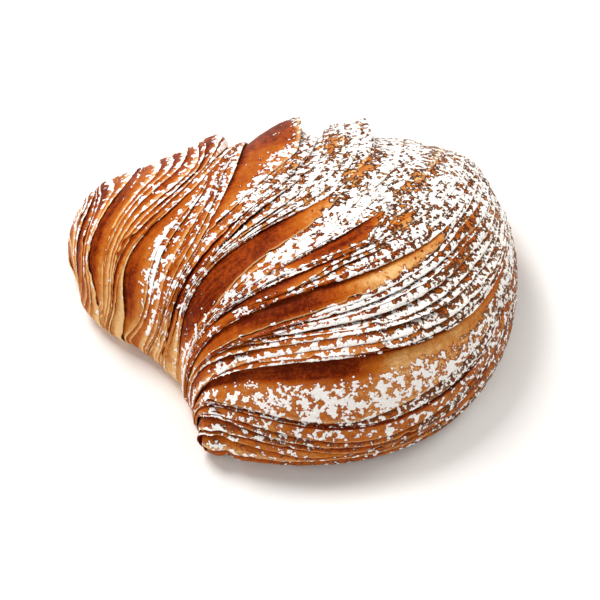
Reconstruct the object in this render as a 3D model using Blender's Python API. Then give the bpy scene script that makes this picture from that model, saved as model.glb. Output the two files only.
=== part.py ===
"""Sfogliatella riccia: a shell-shaped pastry of thin dough plies that fan out from one pinched corner.

The body is a loft of arches. Each arch springs from the pinched side (the near foot), rises over the
top and comes down on the outer side (the far foot). Going along the fan, the arches turn from the small
lobe at the left, over the crown, down to the front, so that the plies open like a hand fan. Along the fan
lie open bands: there one ply has slid out from under the bundle of plies before it, and leaves a step
down and a smooth slope up to the next bundle. Under the rim the body rounds in to a flat sole.

Lengths are in millimetres and are turned into metres where the mesh is made.
"""

from typing import NamedTuple

import bmesh
import bpy
import numpy as np

MM = 0.001

# Overall build.
RIM_HEIGHT = 7.0  # height of the widest outline above the sole
SOLE_INSET = 6.5  # how far the flat sole lies inside the widest outline
SOLE_ROWS = 4  # facets round the under-edge
ARCH_SEGMENTS = 44  # facets along each arch
NEAR_SKEW = 0.85  # below 1 the arch rises faster at the pinched side
ARCH_FULLNESS = 0.45  # below 0.5 an arch is fuller than an ellipse

# The two ends of the fan are rounded over this share of it.
TIP_ROUNDING = 0.12
MOUTH_ROUNDING = 0.2

# A ply that is not pulled out shows about this much.
CLOSED_BAND = 0.9
CLIFF_RUN = 0.5  # a step's face leans out by this much
BAND_RISE = 1.25  # how late the slope of an open band rises


class Arch(NamedTuple):
    """One station of the fan: its two feet, and how it stands and bows."""

    fan: float  # place along the fan, from the tip lobe at 0 to the mouth at 1
    near_x: float
    near_y: float
    far_x: float
    far_y: float
    height: float  # crown above the rim
    near_bow: float  # sideways bow close to the pinched side, positive towards the mouth
    far_bow: float  # sideways bow of the whole arch, positive towards the mouth


ARCHES = (
    Arch(0.00, -53, -1, -52, 18, 15, 0, -4),
    Arch(0.10, -52, -6, -45, 28, 17, -2, -1),
    Arch(0.22, -46, -13, -28, 34, 23, -6, 0),
    Arch(0.34, -37, -19, -15, 37, 26, -7, 0),
    Arch(0.46, -28, -28, -4, 38, 31, -4, 0),
    Arch(0.58, -26, -33, 24, 39, 38, -4, 12),
    Arch(0.70, -24, -38, 43, 35, 38, -4, 22),
    Arch(0.82, -23, -42, 52, 22, 28, -2, 30),
    Arch(0.92, -22, -45, 55, 14, 20, -1, 31),
    Arch(1.00, -20.5, -47.5, 56, 9, 15, -1, 30.5),
)


class Band(NamedTuple):
    """An open band: one ply pulled out from under the bundle before it, down a step."""

    near: float  # place of the step along the fan, low on the pinched side
    middle: float  # the same at mid arch
    far: float  # the same low on the outer side
    start: float  # the band opens and closes between these shares of the arch
    end: float
    width: float
    depth: float  # height of the step
    lip: float = 0  # how far the free corner of the upper ply stands up at the back
    lean: float = 0  # how far along the fan that corner leans


BANDS = (
    Band(0.070, 0.110, 0.070, 0.00, 0.55, 3.2, 1.3),
    Band(0.195, 0.183, 0.165, 0.04, 0.85, 4.2, 2.4),
    Band(0.258, 0.355, 0.385, 0.02, 0.62, 3.2, 1.5, 3.0, -0.035),
    Band(0.302, 0.385, 0.410, 0.00, 0.64, 7.0, 3.4),
    Band(0.400, 0.483, 0.453, 0.36, 1.00, 6.5, 2.6, 5.0, 0.045),
    Band(0.430, 0.515, 0.505, 0.06, 0.42, 2.6, 1.6),
    Band(0.485, 0.563, 0.572, 0.03, 0.90, 7.4, 4.2, 5.0),
    Band(0.575, 0.634, 0.650, 0.36, 0.64, 3.8, 2.0),
    Band(0.604, 0.678, 0.690, 0.06, 0.42, 3.0, 1.8),
    Band(0.644, 0.716, 0.718, 0.06, 0.92, 5.4, 3.2),
    Band(0.756, 0.825, 0.802, 0.00, 0.86, 8.0, 4.4),
    Band(0.830, 0.950, 0.890, 0.02, 0.85, 2.4, 1.4),
    Band(0.925, 0.986, 0.960, 0.02, 0.90, 1.8, 1.2),
)
# The bands' steps cross the arches at these shares of them.
NEAR_SHARE, MIDDLE_SHARE, FAR_SHARE = 0.08, 0.4, 0.75
# A free corner rises over the first stretch of the arch and ends at the last.
LIP_START, LIP_PEAK, LIP_END = 0.52, 0.84, 0.9


def through_stations(values, fan):
    """A smooth curve through one value of every station, read at the given places along the fan."""
    at = np.array([arch.fan for arch in ARCHES])
    values = np.array(values, float)
    gaps = np.diff(at)
    steps = np.diff(values) / gaps
    slopes = np.empty(len(values))
    slopes[1:-1] = (steps[:-1] * gaps[1:] + steps[1:] * gaps[:-1]) / (gaps[1:] + gaps[:-1])
    slopes[0] = 1.5 * steps[0] - 0.5 * slopes[1]
    slopes[-1] = 1.5 * steps[-1] - 0.5 * slopes[-2]
    i = np.clip(np.searchsorted(at, fan) - 1, 0, len(gaps) - 1)
    t = (fan - at[i]) / gaps[i]
    return (
        (2 * t**3 - 3 * t**2 + 1) * values[i]
        + (t**3 - 2 * t**2 + t) * gaps[i] * slopes[i]
        + (3 * t**2 - 2 * t**3) * values[i + 1]
        + (t**3 - t**2) * gaps[i] * slopes[i + 1]
    )


def hump(share, skew, power):
    """0 at both feet and 1 at its peak, which skew moves along the arch."""
    moved = share**skew
    return np.clip(4 * moved * (1 - moved), 0, None) ** power


def rounded_ends(fan):
    """1 along the fan, falling to 0 as a quarter circle at both of its ends."""
    tip = np.clip(fan / TIP_ROUNDING, 0, 1)
    mouth = np.clip((1 - fan) / MOUTH_ROUNDING, 0, 1)
    return np.sqrt(1 - (1 - tip) ** 2) * np.sqrt(1 - (1 - mouth) ** 2)


def body_point(fan, along):
    """Points of the smooth body, at places along the fan and along its arches, both from 0 to 1."""
    near_x, near_y, far_x, far_y, height, near_bow, far_bow = (
        through_stations(values, fan) for values in list(zip(*ARCHES))[1:]
    )
    across_x, across_y = far_x - near_x, far_y - near_y
    span = np.hypot(across_x, across_y)
    share = 0.5 - 0.5 * np.cos(np.pi * along)
    bow = near_bow * hump(share, 0.45, 3.0) + far_bow * hump(share, 1.5 - 0.5 * fan, 0.8)
    return np.stack(
        [
            near_x + share * across_x + bow * across_y / span,
            near_y + share * across_y - bow * across_x / span,
            RIM_HEIGHT + height * rounded_ends(fan) * hump(share, NEAR_SKEW, ARCH_FULLNESS),
        ],
        axis=-1,
    )


def fan_speed(fan, along):
    """Millimetres that the body covers for each unit of the fan."""
    step = 0.01
    ahead = body_point(np.clip(fan + step, 0, 1), along)
    behind = body_point(np.clip(fan - step, 0, 1), along)
    return np.linalg.norm(ahead - behind, axis=-1) / (2 * step)


def opening(band, along):
    """How open a band is at each place along its arches, from 0 to 1."""
    middle, half = (band.start + band.end) / 2, (band.end - band.start) / 2
    off = np.clip(np.abs(along - middle) / half, 0, 1)
    return np.cos(off * np.pi / 2) ** 0.8


def step_line(band, along):
    """Place along the fan of a band's step: a parabola through its three places, with a lean at the back."""
    t = np.clip(along, 0, 0.95)
    near = (t - MIDDLE_SHARE) * (t - FAR_SHARE) / ((NEAR_SHARE - MIDDLE_SHARE) * (NEAR_SHARE - FAR_SHARE))
    middle = (t - NEAR_SHARE) * (t - FAR_SHARE) / ((MIDDLE_SHARE - NEAR_SHARE) * (MIDDLE_SHARE - FAR_SHARE))
    far = (t - NEAR_SHARE) * (t - MIDDLE_SHARE) / ((FAR_SHARE - NEAR_SHARE) * (FAR_SHARE - MIDDLE_SHARE))
    lean = band.lean * np.sin(np.clip((along - LIP_START) / (1 - LIP_START), 0, 1) * np.pi) ** 2
    return near * band.near + middle * band.middle + far * band.far + lean


def lip_rise(band, along):
    """How far the upper ply's edge stands out of the body."""
    rise = np.clip((along - LIP_START) / (LIP_PEAK - LIP_START), 0, 1) ** 1.5
    fall = np.clip((LIP_END - along) / (LIP_END - LIP_PEAK), 0, 1)
    return band.lip * np.minimum(rise, fall)


def fan_columns(along):
    """Pairs (fan, depth below the body) for the mesh's columns, each an array along the arches."""
    level = np.zeros_like(along)
    first = step_line(BANDS[0], along)
    columns = [(first * share, level) for share in (0, 0.06, 0.25, 0.6)]
    for number, band in enumerate(BANDS):
        edge = step_line(band, along)
        after = step_line(BANDS[number + 1], along) if number + 1 < len(BANDS) else level + 1
        room = after - edge
        speed = fan_speed(edge, along)
        open_share = opening(band, along)
        depth = band.depth * open_share
        width = CLOSED_BAND + (band.width - CLOSED_BAND) * open_share
        foot = edge + np.minimum(CLIFF_RUN / speed, 0.1 * room)
        width = np.minimum(width / speed, 0.75 * room)
        columns.append((edge, -lip_rise(band, along)))
        columns.append((foot, depth))
        columns.append((foot + width * 0.5, depth * 0.5**BAND_RISE))
        columns.append((foot + width, level))
        next_lip = lip_rise(BANDS[number + 1], along) if number + 1 < len(BANDS) else level
        columns.append(((foot + width + after) / 2, -next_lip / 2))
    columns.append((level + 0.993, level))
    columns.append((level + 1, level))
    return columns


def outward(fan, along):
    """Unit normals of the smooth body, pointing out."""
    step = 0.002
    fan = np.clip(fan, 2 * step, 1 - 2 * step)
    inside = np.clip(along, 2 * step, 1 - 2 * step)
    across = body_point(fan + step, inside) - body_point(fan - step, inside)
    down_arch = body_point(fan, inside + step) - body_point(fan, inside - step)
    normal = np.cross(across, down_arch)
    return normal / np.linalg.norm(normal, axis=-1, keepdims=True)


def crown_points():
    """The upper surface as a grid of points, one row for each column of the fan."""
    along = np.linspace(0, 1, ARCH_SEGMENTS + 1)
    rows = []
    for fan, depth in fan_columns(along):
        rows.append(body_point(fan, along) - outward(fan, along) * depth[:, None])
    return np.array(rows)


def inward_at(loop):
    """Unit vectors at the points of a closed outline, pointing into it and level with the ground."""
    reach = 4
    tangent = np.roll(loop, -reach, axis=0) - np.roll(loop, reach, axis=0)
    inward = np.stack([-tangent[:, 1], tangent[:, 0]], axis=-1)
    x, y = loop[:, 0], loop[:, 1]
    turns_left = np.sum(x * np.roll(y, -1) - np.roll(x, -1) * y) > 0
    inward = inward if turns_left else -inward
    return inward / np.linalg.norm(inward, axis=-1, keepdims=True)


def add_crown(mesh, points):
    """Lays a grid over the points and returns the loop of corners along its rim."""
    rows, columns = points.shape[:2]
    corners = [[mesh.verts.new(point * MM) for point in row] for row in points]
    for i in range(rows - 1):
        for j in range(columns - 1):
            mesh.faces.new((corners[i][j], corners[i][j + 1], corners[i + 1][j + 1], corners[i + 1][j]))
    near = [row[0] for row in corners]
    far = [row[-1] for row in corners]
    return near + corners[-1][1:-1] + far[::-1] + corners[0][-2:0:-1]


def add_sole(mesh, rim):
    """Rounds the body in under its rim, row by row, and closes it with a flat sole."""
    outline = np.array([corner.co[:] for corner in rim]) / MM
    inward = inward_at(outline[:, :2])
    ring = rim
    for row in range(1, SOLE_ROWS + 1):
        turn = np.pi / 2 * row / SOLE_ROWS
        inset = SOLE_INSET * (1 - np.cos(turn))
        height = outline[:, 2] * (1 - np.sin(turn))
        lower = [
            mesh.verts.new((x * MM, y * MM, z * MM))
            for (x, y), z in zip(outline[:, :2] + inward * inset, height)
        ]
        for k in range(len(ring)):
            after = (k + 1) % len(ring)
            mesh.faces.new((ring[k], ring[after], lower[after], lower[k]))
        ring = lower
    mesh.faces.new(ring)


def set_down(mesh):
    """Puts the middle of the body's box over the origin, with the sole at height 0."""
    places = np.array([corner.co[:] for corner in mesh.verts])
    low, high = places.min(axis=0), places.max(axis=0)
    shift = -np.array([(low[0] + high[0]) / 2, (low[1] + high[1]) / 2, low[2]])
    bmesh.ops.translate(mesh, verts=mesh.verts, vec=shift)


def baked_dough():
    """Golden brown, dry and slightly glossy."""
    material = bpy.data.materials.new("baked_dough")
    material.use_nodes = True
    shader = material.node_tree.nodes["Principled BSDF"]
    shader.inputs["Base Color"].default_value = (0.55, 0.24, 0.07, 1)
    shader.inputs["Roughness"].default_value = 0.5
    shader.inputs["Metallic"].default_value = 0
    return material


def make_pastry_shell(collection):
    mesh = bmesh.new()
    rim = add_crown(mesh, crown_points())
    add_sole(mesh, rim)
    bmesh.ops.recalc_face_normals(mesh, faces=mesh.faces)
    set_down(mesh)
    data = bpy.data.meshes.new("pastry_shell")
    mesh.to_mesh(data)
    mesh.free()
    data.materials.append(baked_dough())
    data.shade_smooth()
    data.set_sharp_from_angle(angle=np.radians(40))
    collection.objects.link(bpy.data.objects.new("pastry_shell", data))


def main():
    for item in list(bpy.data.objects):
        bpy.data.objects.remove(item, do_unlink=True)
    collection = bpy.data.collections.new("sfogliatella")
    bpy.context.scene.collection.children.link(collection)
    make_pastry_shell(collection)


main()
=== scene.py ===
"""Looks of the sfogliatella: its thin plies one by one, the baked dough and the icing sugar.

The plies lie like shingles along a fan. Each one comes out from under the ply before it and ends in a
thin free edge. Most show about a millimetre of themselves, in bundles. At an open band one ply has slid
out by several millimetres and shows its smooth face. Lengths are in millimetres until a mesh is made.

Two numbers give a place on the pastry. The fan runs from 0 at the tip of the left lobe to 1 at the mouth,
at the front. Along an arch, 0 is its near foot by the hinge, where all plies draw together, and 1 is its
far foot at the back. Places below 0 or above 1 lie round the under-edge.
"""

import math  # noqa: E402
from typing import NamedTuple  # noqa: E402

import bmesh  # noqa: E402
import bpy  # noqa: E402
import numpy as np  # noqa: E402
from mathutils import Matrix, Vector  # noqa: E402

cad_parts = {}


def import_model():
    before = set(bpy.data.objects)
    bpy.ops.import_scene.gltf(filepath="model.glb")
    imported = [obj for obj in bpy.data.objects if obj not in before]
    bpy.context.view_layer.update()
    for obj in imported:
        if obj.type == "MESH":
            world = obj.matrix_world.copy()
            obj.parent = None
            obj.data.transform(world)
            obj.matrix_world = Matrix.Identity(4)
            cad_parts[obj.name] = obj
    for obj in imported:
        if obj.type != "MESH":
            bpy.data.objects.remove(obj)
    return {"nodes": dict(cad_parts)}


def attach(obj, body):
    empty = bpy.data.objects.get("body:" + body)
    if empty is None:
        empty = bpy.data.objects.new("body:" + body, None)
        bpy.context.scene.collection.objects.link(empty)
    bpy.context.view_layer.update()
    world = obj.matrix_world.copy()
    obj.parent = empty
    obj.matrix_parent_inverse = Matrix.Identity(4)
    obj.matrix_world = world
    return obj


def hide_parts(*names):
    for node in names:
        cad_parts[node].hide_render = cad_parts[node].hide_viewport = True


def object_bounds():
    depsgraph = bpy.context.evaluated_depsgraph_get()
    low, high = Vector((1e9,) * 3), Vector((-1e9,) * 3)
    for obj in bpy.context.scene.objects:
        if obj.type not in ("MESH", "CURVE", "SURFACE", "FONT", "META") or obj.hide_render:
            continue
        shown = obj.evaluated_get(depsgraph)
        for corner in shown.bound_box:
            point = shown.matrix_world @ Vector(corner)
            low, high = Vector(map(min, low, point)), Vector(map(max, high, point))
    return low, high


MM = 0.001
SEED = 11
CRINKLE_SEED = 3.0

# The body, as the solid has it.
RIM_HEIGHT = 7.0
SOLE_INSET = 6.5
NEAR_SKEW = 0.85
ARCH_FULLNESS = 0.45
TIP_ROUNDING = 0.12
MOUTH_ROUNDING = 0.2
LINE_SHARES = (0.08, 0.30, 0.52, 0.75)  # the shares of an arch at which a band's line is given
LINE_END = 0.9  # beyond this share it keeps its place along the fan
LIP_PEAK, LIP_END = 0.84, 0.9  # where along an arch a tooth is highest, and where it ends
LIP_BEND = 1.1  # how it rises, as a power

# The plies run on past the rim, round the under-edge to the sole.
UNDER_ARCH = 0.12  # share of an arch that lies round the under-edge, at each foot
UNDER_MOUTH = 0.09  # share of the fan that lies round the under-edge, below the mouth
UNDER_TIP = 0.06  # the same, below the tip

# The plies.
PLY_THICKNESS = 0.34
PLY_FLOOR = 0.03  # no point of a ply lies lower
PLY_WELD = 0.002  # distance at which a ply's two faces join
FINE_DROP = 0.24  # how far a fine ply comes out below the free edge before it, before relief scales it
DROP_PER_WIDTH = 0.28  # and how much farther for each millimetre that it shows
WIDE_PLY = 2.5  # but no farther than at this width
FINE_BEND = 1.6  # how a fine ply rises from its root to its edge, as a power
BAND_BEND = 1.25  # the same for an open ply
CLOSED_BAND = 0.9  # width that an open ply shows where its band is closed
FINE_LEAST = 0.4  # an open ply leaves at least this width for each fine ply after it
LEAST_OPEN = 0.35  # and takes at least this share of the way to the next band
TUCK = 0.7  # length of a ply hidden under the one before it
TUCK_DROP = 0.12
EDGE_ROLL = 0.16  # how far a free edge bends down
TOOTH_FILL = 0.45  # share of a tooth's height at which plies come out from under an open ply that ends in it
TOOTH_SUGAR = 0.35  # how much farther the sugar comes down the face of such an open ply
ARCH_REACH, FAN_REACH, LAY_APART = 110, 100, 50  # scale of the places that the streaks along a ply follow
ALONG_STEPS = 330
FINE_ROWS = (0.0, 0.25, 0.5, 0.75, 0.92, 1.0)
OPEN_ROWS = (0.0, 0.06, 0.15, 0.26, 0.38, 0.5, 0.62, 0.74, 0.85, 0.94, 1.0)
TIP_PLIES = 4
UNDER_TIP_PLIES = 3
UNDER_MOUTH_PLIES = 4
CORE_SHARE = 0.88  # size of the core under the plies, as a share of the body
CORE_WELD = 0.001  # distance at which its loose triangles join

# At their near end the plies of the mouth curl away from each other, and a crease crosses them.
MOUTH_START, MOUTH_FULL = 0.82, 0.88  # places along the fan
MOUTH_END_CURL = 1.4
MOUTH_CREASE = 0.9
CREASE_AT, CREASE_WIDTH = 0.105, 0.02  # along the arches

# The powder that stands up from the plies.
GRAIN_SIZE = 0.34
SMALLEST_GRAIN = 0.35  # share of that size
GRAIN_SPACING = 0.42
GRAIN_DENSITY = 3.0e6  # grains to a square metre before the spacing thins them
GRAIN_FLATNESS = 0.7
GRAINS_FROM = 0.52  # the sugar field at which grains lie
GRAINS_UPWARD = 0.1  # they lie only where a face turns up at least this much

# The camera, in degrees, metres and millimetres, and the place that the lights face.
CAMERA_ELEVATION = 55
CAMERA_DISTANCE = 0.7
CAMERA_LENS = 169.7
CAMERA_TARGET = (0, 0, 0.014)
CAMERA_RIGHT, CAMERA_DOWN = 2.1, 2.6
LIGHTS_AIM = (0, 0, 0.02)


class Arch(NamedTuple):
    """One station of the fan: its two feet, and how it stands and bows."""

    fan: float
    near_x: float
    near_y: float
    far_x: float
    far_y: float
    height: float
    near_bow: float
    far_bow: float


ARCHES = (
    Arch(0.00, -53, -1, -52, 18, 15, 0, -4),
    Arch(0.10, -52, -6, -45, 28, 17, -2, -1),
    Arch(0.22, -46, -13, -28, 34, 23, -6, 0),
    Arch(0.34, -37, -19, -15, 37, 26, -7, 0),
    Arch(0.46, -28, -28, -4, 38, 31, -4, 0),
    Arch(0.58, -26, -33, 24, 39, 38, -4, 12),
    Arch(0.70, -24, -38, 43, 35, 38, -4, 22),
    Arch(0.82, -23, -42, 52, 22, 28, -2, 30),
    Arch(0.92, -22, -45, 55, 14, 20, -1, 31),
    Arch(1.00, -20.5, -47.5, 56, 9, 15, -1, 30.5),
)


class Tooth(NamedTuple):
    """A free edge before an open band, which stands out of the body at the back."""

    height: float
    start: float  # where along its arches it begins to rise
    climb: float = 1.5  # how the fine plies before it climb to it, as a power
    curl: float = 0.0  # share of its height by which its free edge bends back down
    fill: float = 0.0  # share of its height at which the open ply behind it comes out


FLAT = Tooth(0.0, 1.0)
LEFT_TOOTH = Tooth(4.6, 0.60, 1.3, 0.3, 0.7)
MIDDLE_TOOTH = Tooth(5.8, 0.62)
RIGHT_TOOTH = Tooth(5.2, 0.66, 0.6, 0.1, 0.3)
NOWHERE = (2.0, 2.0)


class Band(NamedTuple):
    """An open band: the place of its step, where its ply has slid out, and the fine plies after it."""

    near: float  # places along the fan, at the four shares of an arch in LINE_SHARES
    low: float
    high: float
    far: float
    start: float  # it is open from here to there along its arches, most at its peak
    peak: float
    end: float
    width: float
    depth: float
    bare: float  # share of its width that stays free of sugar
    bundle: int  # fine plies between this band and the next
    widening: float = 0.0  # how much wider they grow from the first to the last, as a power of e
    golden: tuple = NOWHERE  # its face is golden between these places along an arch, and brown elsewhere
    tooth: Tooth = FLAT  # the free edge before it


BANDS = (
    # The left lobe, its root and the left tooth.
    Band(0.070, 0.102, 0.105, 0.070, 0.00, 0.27, 0.62, 3.6, 0.55, 0.75, 3),
    Band(0.200, 0.206, 0.180, 0.165, 0.04, 0.40, 0.75, 4.6, 0.50, 0.75, 6),
    Band(0.258, 0.330, 0.372, 0.352, 0.02, 0.30, 0.62, 2.0, 0.50, 0.60, 1, tooth=LEFT_TOOTH),
    Band(0.300, 0.352, 0.405, 0.404, 0.00, 0.22, 0.56, 6.2, 0.80, 0.62, 6, 0.0, (0.27, 0.9)),
    # The face of the middle tooth, which runs on to the far foot, and the tooth's own edge.
    Band(0.400, 0.478, 0.469, 0.432, 0.38, 0.72, 1.35, 11.0, 0.90, 1.05, 3, 0.0, (0.42, 0.70)),
    Band(0.430, 0.498, 0.522, 0.515, 0.06, 0.24, 0.42, 2.6, 1.10, 0.75, 5, tooth=MIDDLE_TOOTH),
    # The crown, from the right tooth to the lines above the front.
    Band(0.480, 0.533, 0.580, 0.568, 0.05, 0.25, 0.55, 10.5, 1.20, 1.20, 4, 0.0, (0.42, 0.9), RIGHT_TOOTH),
    Band(0.600, 0.638, 0.650, 0.655, 0.34, 0.44, 0.54, 6.0, 1.00, 0.85, 3),
    Band(0.612, 0.661, 0.690, 0.694, 0.06, 0.23, 0.42, 3.6, 1.20, 0.80, 4),
    Band(0.640, 0.700, 0.724, 0.718, 0.04, 0.37, 0.62, 4.6, 1.10, 1.00, 9, 0.3, (0.405, 0.58)),
    # The front and the mouth.
    Band(0.756, 0.808, 0.842, 0.835, -0.14, 0.30, 0.74, 19.0, 1.60, 0.32, 3, -1.0, (0.40, 0.9)),
    Band(0.834, 0.943, 0.956, 0.897, 0.02, 0.40, 0.95, 4.2, 0.60, 0.20, 2),
    Band(0.935, 0.993, 0.994, 0.972, 0.02, 0.40, 0.95, 2.2, 0.60, 0.30, 1),
)

# Pieces that the plies are joined into, and the bands at which all but the first of them start.
PLY_PIECES = ("tip_plies", "left_bundle_plies", "crown_plies", "front_plies", "mouth_plies")
PIECE_BANDS = (2, 5, 8, 10)


def curve_through(at, values, place):
    """A smooth curve through the given values, read at any places, and straight beyond its ends."""
    at, values = np.array(at, float), np.array(values, float)
    gaps = np.diff(at)
    steps = np.diff(values) / gaps
    slopes = np.empty(len(values))
    slopes[1:-1] = (steps[:-1] * gaps[1:] + steps[1:] * gaps[:-1]) / (gaps[1:] + gaps[:-1])
    slopes[0] = 1.5 * steps[0] - 0.5 * slopes[1]
    slopes[-1] = 1.5 * steps[-1] - 0.5 * slopes[-2]
    inside = np.clip(place, at[0], at[-1])
    i = np.clip(np.searchsorted(at, inside) - 1, 0, len(gaps) - 1)
    t = (inside - at[i]) / gaps[i]
    curve = (
        (2 * t**3 - 3 * t**2 + 1) * values[i]
        + (t**3 - 2 * t**2 + t) * gaps[i] * slopes[i]
        + (3 * t**2 - 2 * t**3) * values[i + 1]
        + (t**3 - t**2) * gaps[i] * slopes[i + 1]
    )
    return curve + np.minimum(place - at[0], 0) * slopes[0] + np.maximum(place - at[-1], 0) * slopes[-1]


def through_stations(values, fan):
    """A smooth curve through one value of every station, read at the given places along the fan."""
    return curve_through([arch.fan for arch in ARCHES], values, fan)


def hump(share, skew, power):
    """0 at both feet and 1 at its peak, which skew moves along the arch."""
    moved = share**skew
    return np.clip(4 * moved * (1 - moved), 0, None) ** power


def rounded_ends(fan):
    """1 along the fan, falling to 0 as a quarter circle at both of its ends."""
    tip = np.clip(fan / TIP_ROUNDING, 0, 1)
    mouth = np.clip((1 - fan) / MOUTH_ROUNDING, 0, 1)
    return np.sqrt(1 - (1 - tip) ** 2) * np.sqrt(1 - (1 - mouth) ** 2)


def body_point(fan, along):
    """Points of the smooth body, at places along the fan and along its arches, both from 0 to 1."""
    near_x, near_y, far_x, far_y, height, near_bow, far_bow = (
        through_stations(values, fan) for values in list(zip(*ARCHES))[1:]
    )
    across_x, across_y = far_x - near_x, far_y - near_y
    span = np.hypot(across_x, across_y)
    share = 0.5 - 0.5 * np.cos(np.pi * along)
    bow = near_bow * hump(share, 0.45, 3.0) + far_bow * hump(share, 1.5 - 0.5 * fan, 0.8)
    return np.stack(
        [
            near_x + share * across_x + bow * across_y / span,
            near_y + share * across_y - bow * across_x / span,
            RIM_HEIGHT + height * rounded_ends(fan) * hump(share, NEAR_SKEW, ARCH_FULLNESS),
        ],
        axis=-1,
    )


def blurred(values, reach):
    """Running mean round a closed loop."""
    kernel = np.ones(2 * reach + 1) / (2 * reach + 1)
    padded = np.concatenate([values[-reach:], values, values[:reach]])
    return np.stack([np.convolve(padded[:, k], kernel, "valid") for k in range(values.shape[1])], -1)


class Rim:
    """The widest outline, and the level direction into the body at each place of it."""

    STEPS = 200  # places along each side
    EVEN_STEPS = 900  # evenly spaced places round the loop
    TANGENT_REACH = 6  # steps ahead and behind that a tangent spans
    BLUR_REACH = 4

    def __init__(self):
        places = np.linspace(0, 1, self.STEPS)
        ones = np.ones(self.STEPS)
        sides = (
            body_point(places, 0 * ones),
            body_point(ones, places),
            body_point(places[::-1], ones),
            body_point(0 * ones, places[::-1]),
        )
        loop = np.concatenate(sides)[:, :2]
        steps = np.linalg.norm(np.roll(loop, -1, axis=0) - loop, axis=1)
        distance = np.concatenate([[0], np.cumsum(steps)])
        closed = np.concatenate([loop, loop[:1]])
        self.even = np.linspace(0, distance[-1], self.EVEN_STEPS, endpoint=False)
        even_loop = np.stack([np.interp(self.even, distance, closed[:, k]) for k in range(2)], -1)
        reach = self.TANGENT_REACH
        tangent = np.roll(even_loop, -reach, axis=0) - np.roll(even_loop, reach, axis=0)
        inward = blurred(np.stack([-tangent[:, 1], tangent[:, 0]], -1), self.BLUR_REACH)
        self.inward = inward / np.linalg.norm(inward, axis=1, keepdims=True)
        self.distance = distance
        self.low = loop.min(axis=0)

    def into(self, side, place):
        """Inward directions at places from 0 to 1 along one side: 0 near, 1 mouth, 2 far, 3 tip."""
        place = 1 - place if side >= 2 else place
        index = side * self.STEPS + place * (self.STEPS - 1)
        at = np.interp(index, np.arange(len(self.distance)), self.distance)
        return np.stack([np.interp(at, self.even, self.inward[:, k]) for k in range(2)], -1)


RIM = Rim()


def shell_point(fan, along):
    """body_point, carried on round the under-edge where fan or along is outside 0 to 1."""
    fan, along = np.broadcast_arrays(fan, along)
    inside, upon = np.clip(fan, 0, 1), np.clip(along, 0, 1)
    points = body_point(inside, upon)
    near = np.clip(-along / UNDER_ARCH, 0, 1)
    far = np.clip((along - 1) / UNDER_ARCH, 0, 1)
    mouth = np.clip((fan - 1) / UNDER_MOUTH, 0, 1)
    tip = np.clip(-fan / UNDER_TIP, 0, 1)
    inward = RIM.into(1, upon)
    for share, side, place in ((tip, 3, upon), (far, 2, inside), (near, 0, inside)):
        inward = np.where((share > 0)[..., None], RIM.into(side, place), inward)
    turn = np.max([near, far, mouth, tip], axis=0) * np.pi / 2
    points[..., :2] += inward * (SOLE_INSET * (1 - np.cos(turn)))[..., None]
    points[..., 2] *= 1 - np.sin(turn)
    return points


def shell_frame(fan, along):
    """Points of the shell, unit normals pointing out, and unit directions along the fan."""
    step = 0.0015
    point = shell_point(fan, along)
    across = shell_point(fan + step, along) - shell_point(fan - step, along)
    down_arch = shell_point(fan, along + step) - shell_point(fan, along - step)
    normal = np.cross(across, down_arch)
    normal /= np.linalg.norm(normal, axis=-1, keepdims=True) + 1e-9
    across /= np.linalg.norm(across, axis=-1, keepdims=True) + 1e-9
    return point, normal, across


def fan_speed(fan, along):
    """Millimetres that the shell covers for each unit of the fan."""
    step = 0.01
    ahead, behind = shell_point(fan + step, along), shell_point(fan - step, along)
    return np.linalg.norm(ahead - behind, axis=-1) / (2 * step)


def opening(band, along):
    """How open a band is at each place along its arches, from 0 to 1."""
    side = np.where(along < band.peak, band.peak - band.start, band.end - band.peak)
    return np.cos(np.clip(np.abs(along - band.peak) / side, 0, 1) * np.pi / 2) ** 0.9


def step_line(band, along):
    """Place along the fan of a band's step."""
    places = (band.near, band.low, band.high, band.far)
    return curve_through(LINE_SHARES, places, np.clip(along, 0, LINE_END))


def lip_rise(tooth, along):
    """How far a free edge stands out of the body: it climbs along the arch to the tooth and ends steeply."""
    rise = np.clip((along - tooth.start) / (LIP_PEAK - tooth.start), 0, 1) ** LIP_BEND
    fall = np.clip((LIP_END - along) / (LIP_END - LIP_PEAK), 0, 1) ** 0.5
    return tooth.height * np.minimum(rise, fall)


def wander(dice, along, bends):
    """A smooth random curve of about unit size, with the given number of bends along the arch."""
    knots = dice.normal(size=bends + 4)
    place = (along - along[0]) / (along[-1] - along[0]) * bends
    i = np.minimum(place.astype(int), bends - 1)
    t = place - i
    weights = ((1 - t) ** 3, 3 * t**3 - 6 * t**2 + 4, -3 * t**3 + 3 * t**2 + 3 * t + 1, t**3)
    return sum(weight * knots[i + k] for k, weight in enumerate(weights)) / 3.6


def smooth(low, high, value):
    """0 below low, 1 above high, and an even rise between."""
    t = np.clip((value - low) / (high - low), 0, 1)
    return t * t * (3 - 2 * t)


def stretch(value, places):
    """0 before the first of four places, 1 between the middle two, and 0 again after the last."""
    first, full, fading, last = places
    return smooth(first, full, value) * (1 - smooth(fading, last, value))


def onward(first, full):
    """The places of a stretch that comes in and doesn't end."""
    return first, full, 8.0, 9.0


def up_to(fading, last):
    """The places of a stretch that has no start and ends."""
    return -9.0, -8.0, fading, last


class Zone(NamedTuple):
    """A soft-edged patch of the pastry, and what it adds to a value there."""

    gain: float
    fan: tuple
    along: tuple


EVERYWHERE = (-9.0, -8.0, 8.0, 9.0)
LOBE = up_to(0.25, 0.45)  # along the fan
HINGE = up_to(0.06, 0.26)  # along the arches
BODY = onward(0.06, 0.26)  # and the rest of them


def zones_at(zones, fan, along):
    """Sum of what all zones add at each place."""
    return sum(zone.gain * stretch(fan, zone.fan) * stretch(along, zone.along) for zone in zones)


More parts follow.
